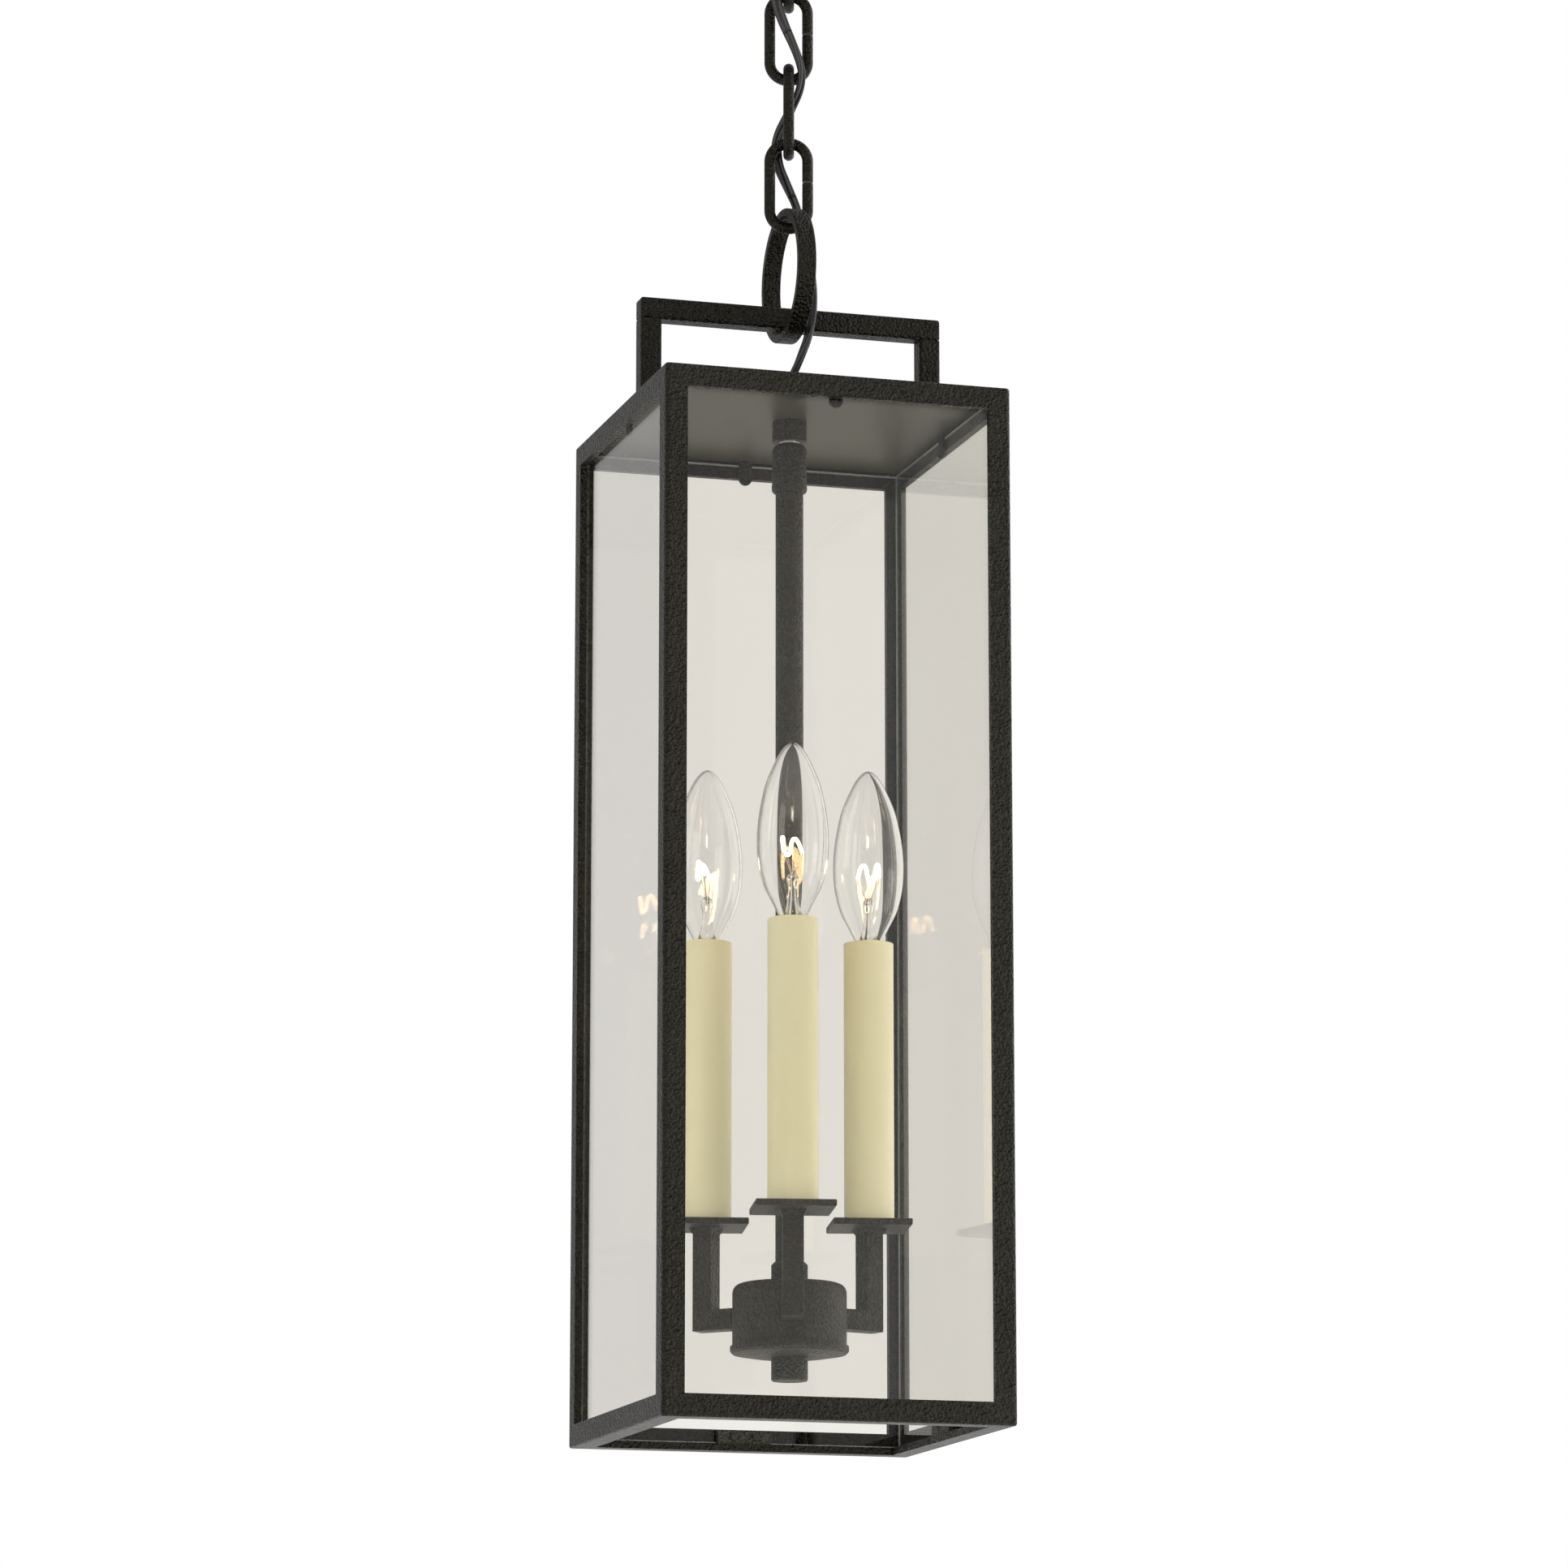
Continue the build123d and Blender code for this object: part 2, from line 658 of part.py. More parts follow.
def bulb_section(inset):
    """The half outline of a torpedo bulb, from its neck to its pointed tip, set in by a wall."""
    outline = (
        (bulb_neck_r, 0),
        (bulb_neck_r + 0.1, 2.2),
        (9.4, 9.2),
        (13.2, 16.9),
        (15.7, 26.5),
        (16.5, 36.1),
        (16.1, 45.7),
        (14.7, 55.2),
        (12.4, 64.8),
        (8.4, 74.4),
        (5.4, 79.9),
    )
    points = [(radius - inset, base_top + height) for radius, height in outline]
    return [*points, (0, bulb_tip - 2 * inset)]


def bulb_envelope(inset, centre):
    """A solid of revolution inside the bulb's outline, on one lamp's axis."""
    points = bulb_section(inset)
    rise = lantern_bottom
    section = Plane(origin=(*centre, 0), x_dir=(1, 0, 0), z_dir=(0, -1, 0))
    with BuildPart() as envelope:
        with BuildSketch(section):
            with BuildLine():
                Spline(
                    *[(radius, rise + height) for radius, height in points],
                    tangents=((0, 1), (-1, 0)),
                )
                Polyline(
                    (0, rise + points[-1][1]),
                    (0, rise + points[0][1]),
                    (points[0][0], rise + points[0][1]),
                )
            make_face()
        revolve(axis=Axis((*centre, 0), (0, 0, 1)))
    return envelope.part


for number, turn, centre in lamp_axes():
    with BuildPart() as bulb_glass:
        add(bulb_envelope(0, centre))
        add(bulb_envelope(bulb_wall, centre), mode=Mode.SUBTRACT)
    store(bulb_glass, f"bulb_glass_{number}")

    with BuildPart() as bulb_base:
        add(turned_piece(base_bottom, base_top, base_core, 0, centre))
        for ridge in range(5):
            low = base_bottom + 2.5 + ridge * thread_pitch
            add(turned_piece(low, low + thread_pitch / 2, base_r, 0, centre))
        add(turned_piece(contact_tip, base_bottom, 2.5, 0, centre))
    store(bulb_base, f"bulb_base_{number}")

# ================= supply cord =================

# The route's points are (right, back, height), where right and back are turned with the chain, so that
# right runs along the face-on links. It leaves the grommet, passes in front of the handle and beside the
# ring, weaves through the links and ends in the nipple's mouth at the ceiling.
cord_route = [
    (0.0, 0.0, 487.4),
    (0.1, -0.3, 497.0),
    (4.8, -4.6, 507.0),
    (10.3, -7.4, 519.5),
    (11.3, -6.3, 536.5),
    (10.0, -1.0, 553.0),
    (6.4, 6.0, 568.0),
    (5.7, 7.5, 581.0),
    (-0.6, 7.0, 595.0),
    (-5.7, 6.3, 606.5),
    (-5.9, 5.3, 618.0),
    (-0.4, 0.8, 628.5),
    (5.3, -4.6, 638.5),
    (6.0, -6.2, 649.0),
    (2.6, -5.9, 660.5),
    (-2.2, -5.7, 671.5),
    (-6.0, -6.1, 682.5),
    (-5.9, -5.3, 693.5),
    (-0.3, -0.6, 704.0),
    (5.2, 4.6, 713.5),
    (6.1, 6.2, 724.0),
    (4.2, 4.4, 734.5),
    (0.5, 0.6, 745.0),
    (-0.3, 0.1, 756.5),
    (0.2, -0.2, 768.0),
    (-0.1, 0.1, 779.0),
    (0.0, -0.1, 784.0),
]
across = (cos(radians(chain_turn)), -sin(radians(chain_turn)))
cord_points = [
    Vector(
        right * across[0] - back * across[1],
        right * across[1] + back * across[0],
        lantern_bottom + height,
    )
    for right, back, height in cord_route
]
cord_radii = []
for before, here, after in zip(cord_points, cord_points[1:], cord_points[2:]):
    shorter = min((here - before).length, (after - here).length)
    half_turn = radians((here - before).get_angle(after - here) / 2)
    cord_radii.append(0.45 * shorter * cos(half_turn) / sin(half_turn))

with BuildPart() as supply_cord:
    with BuildLine() as cord_line:
        FilletPolyline(*cord_points, radius=cord_radii)
    with BuildSketch(Plane(origin=cord_line.line @ 0, z_dir=cord_line.line % 0)):
        Circle(cord_r)
    sweep(path=cord_line.line)
store(supply_cord, "supply_cord")

print("lantern bottom at", round(lantern_bottom, 2))
print("ring centre at", round(ring_centre, 2), "last crown at", round(last_crown, 2))
print("cord radii", [round(radius, 1) for radius in cord_radii])
cord_length = sum(edge.length for edge in cord_line.line.edges())
print("cord length", round(cord_length, 1))
print("cord volume over section times length", supply_cord.part.volume / (pi * cord_r**2 * cord_length))
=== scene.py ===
import json
import math

import bmesh
import bpy
import numpy as np
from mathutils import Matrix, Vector


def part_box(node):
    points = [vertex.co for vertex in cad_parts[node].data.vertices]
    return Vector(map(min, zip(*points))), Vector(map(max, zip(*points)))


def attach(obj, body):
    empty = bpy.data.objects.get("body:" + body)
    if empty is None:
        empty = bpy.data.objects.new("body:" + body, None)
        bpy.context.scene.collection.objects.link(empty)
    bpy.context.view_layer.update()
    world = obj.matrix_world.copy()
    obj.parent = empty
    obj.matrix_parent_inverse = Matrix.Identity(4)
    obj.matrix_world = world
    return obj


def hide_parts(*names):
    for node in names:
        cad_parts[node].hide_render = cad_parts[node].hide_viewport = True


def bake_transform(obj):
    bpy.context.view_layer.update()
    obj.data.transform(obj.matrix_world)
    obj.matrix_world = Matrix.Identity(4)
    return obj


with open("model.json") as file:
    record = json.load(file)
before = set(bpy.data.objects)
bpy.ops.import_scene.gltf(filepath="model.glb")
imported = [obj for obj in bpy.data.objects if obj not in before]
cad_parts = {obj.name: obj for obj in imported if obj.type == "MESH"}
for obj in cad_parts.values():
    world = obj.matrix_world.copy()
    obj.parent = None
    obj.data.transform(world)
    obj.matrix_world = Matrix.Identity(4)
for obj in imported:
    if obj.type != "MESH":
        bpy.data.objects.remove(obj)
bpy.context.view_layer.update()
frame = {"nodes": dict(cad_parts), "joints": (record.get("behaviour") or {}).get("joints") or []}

scene = bpy.context.scene
nodes = frame["nodes"]
joints = {joint["name"]: joint for joint in frame["joints"]}
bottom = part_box("bottom_rails")[0].z
MM = 0.001


def level(height):
    """The row's z of a height above the lantern's bottom edge, in metres."""
    return bottom + height


# ---------------------------------------------------------------- camera

# The camera stands left of the lantern's front and below its bottom edge, and looks up.
CAMERA_PLACE = (-0.7862, -2.6634, level(-0.2588))
CAMERA_PITCH = math.radians(90 + 11.45)
CAMERA_TURN = math.radians(-16.4)

camera_data = bpy.data.cameras.new("camera")
camera_data.lens = 139.8
camera_data.sensor_width = 36.0
camera = bpy.data.objects.new("camera", camera_data)
camera.location = CAMERA_PLACE
camera.rotation_euler = (CAMERA_PITCH, 0, CAMERA_TURN)
scene.collection.objects.link(camera)
bpy.context.scene.camera = camera


# ---------------------------------------------------------------- mesh helpers


def put(name, verts, faces):
    """A new smooth-shaded mesh object from points and faces, linked into the scene."""
    mesh = bpy.data.meshes.new(name)
    mesh.from_pydata([tuple(v) for v in verts], [], faces)
    mesh.polygons.foreach_set("use_smooth", [True] * len(mesh.polygons))
    mesh.update()
    piece = bpy.data.objects.new(name, mesh)
    scene.collection.objects.link(piece)
    return piece


def finish_piece(piece, material):
    """Gives a piece its material."""
    piece.data.materials.append(material)
    return piece


def transported(points):
    """Tangents and two cross directions along a line, carried without twist."""
    points = np.asarray(points, float)
    tangents = np.gradient(points, axis=0)
    tangents /= np.linalg.norm(tangents, axis=1)[:, None]
    start = np.cross(tangents[0], (0.0, 1.0, 0.0))
    normal = start / np.linalg.norm(start)
    normals = []
    for tangent in tangents:
        normal = normal - tangent * normal.dot(tangent)
        normal = normal / np.linalg.norm(normal)
        normals.append(normal)
    normals = np.array(normals)
    return points, tangents, normals, np.cross(tangents, normals)


def swept(points, normals, binormals, outline):
    """Points and faces of an outline carried along a line, closed by a face at each end."""
    count, sides = len(points), len(outline)
    verts = [
        points[i] + normals[i] * a + binormals[i] * b for i in range(count) for a, b in outline
    ]
    faces = []
    for i in range(count - 1):
        low, high = i * sides, (i + 1) * sides
        for j in range(sides):
            k = (j + 1) % sides
            faces.append((low + j, low + k, high + k, high + j))
    faces.append(tuple(reversed(range(sides))))
    faces.append(tuple(range((count - 1) * sides, count * sides)))
    return verts, faces


def ring_outline(radius, sides, centre=(0.0, 0.0)):
    """A round outline."""
    turns = [2 * math.pi * j / sides for j in range(sides)]
    return [(centre[0] + radius * math.cos(t), centre[1] + radius * math.sin(t)) for t in turns]


def rod(name, points, radius, sides=10):
    """A round wire along a line."""
    line, _, normals, binormals = transported(points)
    return put(name, *swept(line, normals, binormals, ring_outline(radius, sides)))


def curved(points, steps=8):
    """A smooth line through the points (Catmull-Rom)."""
    points = np.asarray(points, float)
    padded = np.vstack([2 * points[0] - points[1], points, 2 * points[-1] - points[-2]])
    line = []
    for k in range(len(points) - 1):
        a, b, c, d = padded[k : k + 4]
        squared = 2 * a - 5 * b + 4 * c - d
        cubed = 3 * b - a - 3 * c + d
        for step in range(steps):
            t = step / steps
            line.append(0.5 * (2 * b + (c - a) * t + squared * t**2 + cubed * t**3))
    line.append(points[-1])
    return np.array(line)


def turned(name, profile, centre, segments=72, closed=False):
    """A lathed form about an upright axis, from (radius, z) pairs. A radius of nearly 0 is a pole."""
    verts, rows = [], []
    for radius, z in profile:
        if radius < 1e-6:
            verts.append((centre[0], centre[1], z))
            rows.append([len(verts) - 1] * segments)
            continue
        rows.append(list(range(len(verts), len(verts) + segments)))
        for j in range(segments):
            t = 2 * math.pi * j / segments
            verts.append((centre[0] + radius * math.cos(t), centre[1] + radius * math.sin(t), z))
    faces = []
    pairs = list(zip(rows, rows[1:])) + ([(rows[-1], rows[0])] if closed else [])
    for low, high in pairs:
        for j in range(segments):
            k = (j + 1) % segments
            corners = []
            for corner in (low[j], low[k], high[k], high[j]):
                if corner not in corners:
                    corners.append(corner)
            if len(corners) > 2:
                faces.append(tuple(corners))
    return put(name, verts, faces)


# ---------------------------------------------------------------- material helpers


class Nodes:
    """A material's node tree, with short names for what the materials below are made of."""

    def __init__(self, name):
        self.material = bpy.data.materials.new(name)
        self.material.use_nodes = True
        self.tree = self.material.node_tree
        self.shader = self.tree.nodes["Principled BSDF"]
        self.place = self.tree.nodes.new("ShaderNodeTexCoord").outputs["Object"]

    def set(self, **values):
        for name, value in values.items():
            self.shader.inputs[name.replace("_", " ")].default_value = value

    def link(self, source, target):
        self.tree.links.new(source, target)

    def noise(self, scale, detail=2.0, rough=0.5, stretch=None):
        node = self.tree.nodes.new("ShaderNodeTexNoise")
        node.inputs["Scale"].default_value = scale
        node.inputs["Detail"].default_value = detail
        node.inputs["Roughness"].default_value = rough
        source = self.place
        if stretch:
            mapping = self.tree.nodes.new("ShaderNodeMapping")
            mapping.inputs["Scale"].default_value = stretch
            self.link(self.place, mapping.inputs["Vector"])
            source = mapping.outputs["Vector"]
        self.link(source, node.inputs["Vector"])
        return node.outputs["Fac"]

    def pebbles(self, scale, smooth=0.7):
        node = self.tree.nodes.new("ShaderNodeTexVoronoi")
        node.feature = "SMOOTH_F1"
        node.inputs["Scale"].default_value = scale
        node.inputs["Smoothness"].default_value = smooth
        self.link(self.place, node.inputs["Vector"])
        return node.outputs["Distance"]

    def math(self, kind, a, b):
        node = self.tree.nodes.new("ShaderNodeMath")
        node.operation = kind
        for index, value in enumerate((a, b)):
            if isinstance(value, (int, float)):
                node.inputs[index].default_value = value
            else:
                self.link(value, node.inputs[index])
        return node.outputs[0]

    def ramp(self, source, *stops):
        node = self.tree.nodes.new("ShaderNodeValToRGB")
        elements = node.color_ramp.elements
        while len(elements) < len(stops):
            elements.new(0.5)
        for element, (position, colour) in zip(elements, stops):
            element.position = position
            element.color = (*colour, 1.0)
        self.link(source, node.inputs["Fac"])
        return node.outputs["Color"]

    def mix(self, kind, factor, a, b):
        node = self.tree.nodes.new("ShaderNodeMix")
        node.data_type = "RGBA"
        node.blend_type = kind
        if isinstance(factor, (int, float)):
            node.inputs["Factor"].default_value = factor
        else:
            self.link(factor, node.inputs["Factor"])
        self.link(a, node.inputs[6])
        self.link(b, node.inputs[7])
        return node.outputs[2]

    def spread(self, source, low, high):
        node = self.tree.nodes.new("ShaderNodeMapRange")
        node.inputs["To Min"].default_value = low
        node.inputs["To Max"].default_value = high
        self.link(source, node.inputs["Value"])
        return node.outputs["Result"]

    def bump(self, height, distance):
        node = self.tree.nodes.new("ShaderNodeBump")
        node.inputs["Distance"].default_value = distance
        node.inputs["Strength"].default_value = 1.0
        self.link(height, node.inputs["Height"])
        self.link(node.outputs["Normal"], self.shader.inputs["Normal"])

    def colour(self, source):
        self.link(source, self.shader.inputs["Base Color"])

    def roughness(self, source, low, high):
        self.link(self.spread(source, low, high), self.shader.inputs["Roughness"])


GRAIN_SCALE = 2600.0  # fine grain on textured paint, in waves a metre
WARM = (1.0, 0.93, 0.74, 1.0)  # tint of the textured paint's sheen


def textured_iron(name, pit_shade, body, peak_highlight, rough, relief, pebble=760.0, gloss=0.4):
    """Cast-look paint on steel: pebbles of about a millimetre, darkened in their hollows as painted
    shade and lightened on their tops as painted highlight.
    """
    made = Nodes(name)
    worms = made.noise(pebble, 1.2, 0.4)
    cells = made.pebbles(pebble * 1.1, 0.45)
    grain = made.noise(GRAIN_SCALE, 2.0, 0.6)
    mottle = made.noise(34.0, 4.0, 0.62)
    worms = made.math("MULTIPLY", worms, 1.3)
    height = made.math("SUBTRACT", worms, made.math("MULTIPLY", cells, 0.5))
    height = made.math("ADD", height, made.math("MULTIPLY", grain, 0.12))
    # The pebbles' height paints shade into the hollows and a highlight onto the tops; the mottle adds
    # uneven paint colour at random.
    relief_shade_and_mottle = made.math("MULTIPLY", height, 0.55)
    relief_shade_and_mottle = made.math("ADD", relief_shade_and_mottle, made.math("MULTIPLY", mottle, 0.5))
    made.colour(made.ramp(relief_shade_and_mottle, (0.3, pit_shade), (0.52, body), (0.8, peak_highlight)))
    made.roughness(mottle, rough - 0.08, rough + 0.12)
    made.bump(height, relief)
    made.set(Specular_IOR_Level=gloss, Specular_Tint=WARM)
    return made.material


def plate_paint():
    """The top plate: satin paint, dark on top, with its underside painted much lighter as painted light
    from below.
    """
    made = Nodes("plate_paint")
    cloud = made.noise(16.0, 4.0, 0.6)
    # The pale underside colour is painted light from below; the top keeps the iron's dark paint.
    lit_underside = made.ramp(cloud, (0.3, (0.068, 0.064, 0.043)), (0.7, (0.11, 0.104, 0.072)))
    above = made.ramp(cloud, (0.3, (0.006, 0.0058, 0.004)), (0.7, (0.012, 0.0112, 0.008)))
    low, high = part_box("top_plate")
    axes = made.tree.nodes.new("ShaderNodeSeparateXYZ")
    made.link(made.place, axes.inputs["Vector"])
    is_above = made.math("GREATER_THAN", axes.outputs["Z"], (low.z + high.z) / 2)
    made.colour(made.mix("MIX", is_above, lit_underside, above))
    made.roughness(cloud, 0.36, 0.52)
    made.bump(made.noise(1500.0, 3.0, 0.6), 0.00002)
    made.set(Specular_IOR_Level=0.3)
    return made.material


FRAME_IRON = textured_iron(
    "frame_iron",
    pit_shade=(0.0014, 0.0014, 0.001),
    body=(0.0042, 0.004, 0.0028),
    peak_highlight=(0.0125, 0.0118, 0.0082),
    rough=0.31,
    relief=0.0017,
    gloss=0.27,
)
# Painted shade: the chain's iron is a darker copy of the frame iron, for the upper parts, which take
# less light.
CHAIN_IRON_SHADED = textured_iron(
    "chain_iron",
    pit_shade=(0.001, 0.001, 0.0008),
    body=(0.0024, 0.0023, 0.0018),
    peak_highlight=(0.008, 0.0075, 0.0055),
    rough=0.34,
    relief=0.0007,
    pebble=800.0,
    gloss=0.22,
)
# Painted shade: the handle, ring and nut get a darker copy of the frame iron, for the upper parts,
# which take less light.
HANDLE_IRON_SHADED = textured_iron(
    "handle_iron",
    pit_shade=(0.001, 0.001, 0.0008),
    body=(0.0028, 0.0027, 0.002),
    peak_highlight=(0.009, 0.0084, 0.006),
    rough=0.34,
    relief=0.0013,
    gloss=0.22,
)
# Painted light: the parts inside the lantern get a much lighter copy of the same iron.
INNER_IRON_LIT = textured_iron(
    "inner_iron",
    pit_shade=(0.014, 0.0138, 0.0105),
    body=(0.026, 0.0255, 0.0192),
    peak_highlight=(0.05, 0.0485, 0.037),
    rough=0.4,
    relief=0.0016,
)
PLATE_IRON = plate_paint()
CANOPY_IRON = textured_iron(
    "canopy_iron",
    pit_shade=(0.004, 0.0038, 0.0025),
    body=(0.009, 0.0082, 0.0052),
    peak_highlight=(0.02, 0.018, 0.0115),
    rough=0.36,
    relief=0.0008,
)


def clear_glass(name, tint, deep, streak):
    """Clear glass with a faint cloud in its tint."""
    made = Nodes(name)
    cloud = made.noise(9.0, 3.0, 0.55, streak)
    made.colour(made.ramp(cloud, (0.35, deep), (0.65, tint)))
    made.set(Transmission_Weight=1.0, IOR=1.5, Roughness=0.0, Specular_IOR_Level=0.5)
    return made.material


DRAWN = (1.0, 1.0, 0.35)  # a pane's cloud is drawn out along its height
EVEN = (1.0, 1.0, 1.0)
PANE_GLASS = clear_glass("pane_glass", (0.91, 0.893, 0.855), (0.893, 0.875, 0.834), DRAWN)
BULB_GLASS = clear_glass("bulb_glass", (0.985, 0.985, 0.98), (0.975, 0.975, 0.97), EVEN)
STEM_GLASS = clear_glass("stem_glass", (0.95, 0.95, 0.93), (0.9, 0.9, 0.88), EVEN)


def ground_edge():
    """The seamed, ground edge of a pane: frosted, pale and a little green."""
    made = Nodes("ground_edge")
    chips = made.noise(700.0, 3.0, 0.6)
    made.colour(made.ramp(chips, (0.35, (0.6, 0.63, 0.58)), (0.62, (0.85, 0.87, 0.82))))
    made.roughness(chips, 0.3, 0.6)
    made.bump(chips, 0.0001)
    made.set(Transmission_Weight=0.45, IOR=1.5)
    return made.material


def candle_cream():
    """Cream moulded plastic, a little cloudy, with faint drag lines from the mould."""
    made = Nodes("candle_cream")
    cloud = made.noise(14.0, 4.0, 0.6, (1.0, 1.0, 0.4))
    drag = made.noise(260.0, 3.0, 0.55, (1.0, 1.0, 0.03))
    made.colour(made.ramp(cloud, (0.28, (0.85, 0.785, 0.49)), (0.72, (0.89, 0.845, 0.585))))
    made.roughness(cloud, 0.3, 0.42)
    made.bump(drag, 0.00003)
    made.set(Subsurface_Weight=0.12, Subsurface_Radius=(0.004, 0.003, 0.0015), Subsurface_Scale=1.0)
    return made.material


def plain_plastic(name, dark, light, rough, relief=0.00001):
    """Moulded plastic or rubber with a fine grain."""
    made = Nodes(name)
    grain = made.noise(900.0, 3.0, 0.6)
    made.colour(made.ramp(made.noise(30.0, 3.0, 0.5), (0.3, dark), (0.7, light)))
    made.roughness(grain, rough - 0.06, rough + 0.06)
    made.bump(grain, relief)
    return made.material


def bare_metal(name, dark, light, rough):
    """Bare metal with fine drawn lines."""
    made = Nodes(name)
    lines = made.noise(500.0, 2.0, 0.5, (1.0, 1.0, 6.0))
    made.colour(made.ramp(lines, (0.3, dark), (0.7, light)))
    made.roughness(lines, rough - 0.05, rough + 0.08)
    made.set(Metallic=1.0)
    return made.material


FILAMENT_GLOW = 1500.0


def hot_filament():
    """Glowing tungsten."""
    made = Nodes("hot_filament")
    coil = made.noise(900.0, 1.0, 0.5)
    made.colour(made.ramp(coil, (0.3, (0.9, 0.55, 0.2)), (0.7, (1.0, 0.75, 0.4))))
    glow = made.ramp(coil, (0.25, (1.0, 0.62, 0.28)), (0.75, (1.0, 0.78, 0.45)))
    made.link(glow, made.shader.inputs["Emission Color"])
    made.set(Emission_Strength=FILAMENT_GLOW, Roughness=0.6)
    return made.material


CREAM = candle_cream()
HOLDER = plain_plastic("lampholder_white", (0.72, 0.7, 0.62), (0.82, 0.8, 0.73), 0.4)
LEAD_JACKET = plain_plastic("lead_jacket", (0.7, 0.68, 0.6), (0.8, 0.78, 0.7), 0.35)
CORD_JACKET = plain_plastic("cord_jacket", (0.006, 0.006, 0.006), (0.014, 0.013, 0.012), 0.34, 0.00002)
GROMMET = plain_plastic("grommet_rubber", (0.012, 0.012, 0.012), (0.02, 0.02, 0.02), 0.6, 0.00002)
EARTH_GREEN = plain_plastic("earth_green", (0.02, 0.16, 0.05), (0.03, 0.22, 0.08), 0.4)
BASE_METAL = bare_metal("base_metal", (0.62, 0.6, 0.55), (0.8, 0.78, 0.72), 0.28)
SCREW_STEEL = bare_metal("screw_steel", (0.05, 0.048, 0.044), (0.12, 0.115, 0.1), 0.42)
WIRE_METAL = bare_metal("wire_metal", (0.4, 0.33, 0.25), (0.62, 0.52, 0.4), 0.3)
FILAMENT = hot_filament()


def dress(material, *names):
    """Gives CAD nodes their material."""
    for name in names:
        for material_slot in nodes[name].material_slots:
            material_slot.material = material


posts = [name for name in nodes if name.startswith("corner_post")]
links = [name for name in nodes if name.startswith("chain_link")]
arms = [name for name in nodes if name.startswith(("arm_", "bobeche_"))]
dress(FRAME_IRON, *posts, "bottom_rails", "top_rails")
dress(HANDLE_IRON_SHADED, "handle_bar", "handle_legs", "hanging_ring", "stem_nut")
dress(CHAIN_IRON_SHADED, *links, "canopy_loop")
dress(CANOPY_IRON, "canopy", "screw_collar")
dress(INNER_IRON_LIT, *arms, "stem_tube", "swivel_body", "stem_collar", "neck_collar", "cluster_body")
dress(INNER_IRON_LIT, "cluster_cap", "finial", "glass_tabs", "glass_clips")
dress(PLATE_IRON, "top_plate")
dress(CREAM, "sleeve_1", "sleeve_2", "sleeve_3")
dress(HOLDER, "sockets")
dress(LEAD_JACKET, "lamp_leads")
dress(GROMMET, "cord_grommet")
dress(EARTH_GREEN, "ground_screw")
dress(BASE_METAL, "bulb_base_1", "bulb_base_2", "bulb_base_3")
dress(BASE_METAL, "swivel_stud", "canopy_nipple", "centre_nipple")
dress(SCREW_STEEL, "clip_screws", "crossbar", "canopy_locknut", "socket_risers")


# ---------------------------------------------------------------- panes

EDGE_MATERIAL = ground_edge()
SEAM = 0.0007  # the chamfer ground on a pane's edges


def pane(side):
    """A sheet of clear glass with ground, chamfered edges."""
    name = f"glass_{side}"
    low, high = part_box(name)
    span = high - low
    form = bmesh.new()
    bmesh.ops.create_cube(form, size=1.0)
    for vert in form.verts:
        vert.co = Vector(low[i] + (vert.co[i] + 0.5) * span[i] for i in range(3))
    bmesh.ops.bevel(form, geom=form.edges[:], offset=SEAM, segments=2, profile=0.6, affect="EDGES")
    through = min(range(3), key=lambda i: span[i])
    face_area = 0.9 * span.x * span.y * span.z / span[through]
    for face in form.faces:
        face.material_index = 0 if face.calc_area() > face_area else 1
    mesh = bpy.data.meshes.new(f"pane_{side}")
    form.to_mesh(mesh)
    form.free()
    piece = bpy.data.objects.new(f"pane_{side}", mesh)
    scene.collection.objects.link(piece)
    mesh.materials.append(PANE_GLASS)
    mesh.materials.append(EDGE_MATERIAL)
    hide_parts(name)
    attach(piece, "lantern")


for side_name in ("front", "right", "back", "left"):
    pane(side_name)


# ---------------------------------------------------------------- supply cord

# The cord's route, as (right, back, height above the lantern's bottom).
# Right runs along the face-on links.
ROUTE = [
    (0.0, 0.0, 0.4874),
    (0.0001, -0.0003, 0.497),
    (0.0048, -0.0046, 0.507),
    (0.0103, -0.0074, 0.5195),
    (0.0113, -0.0063, 0.5365),
    (0.01, -0.001, 0.553),
    (0.0064, 0.006, 0.568),
    (0.0057, 0.0075, 0.581),
    (-0.0006, 0.007, 0.595),
    (-0.0057, 0.0063, 0.6065),
    (-0.0059, 0.0053, 0.618),
    (-0.0004, 0.0008, 0.6285),
    (0.0053, -0.0046, 0.6385),
    (0.006, -0.0062, 0.649),
    (0.0026, -0.0059, 0.6605),
    (-0.0022, -0.0057, 0.6715),
    (-0.006, -0.0061, 0.6825),
    (-0.0059, -0.0053, 0.6935),
    (-0.0003, -0.0006, 0.704),
    (0.0052, 0.0046, 0.7135),
    (0.0061, 0.0062, 0.724),
    (0.0042, 0.0044, 0.7345),
    (0.0005, 0.0006, 0.745),
    (-0.0003, 0.0001, 0.7565),
    (0.0002, -0.0002, 0.768),
    (-0.0001, 0.0001, 0.779),
    (0.0, -0.0001, 0.784),
]
right = Vector(joints["link_1_swing"]["axis"])
back = Vector(joints["link_2_swing"]["axis"])

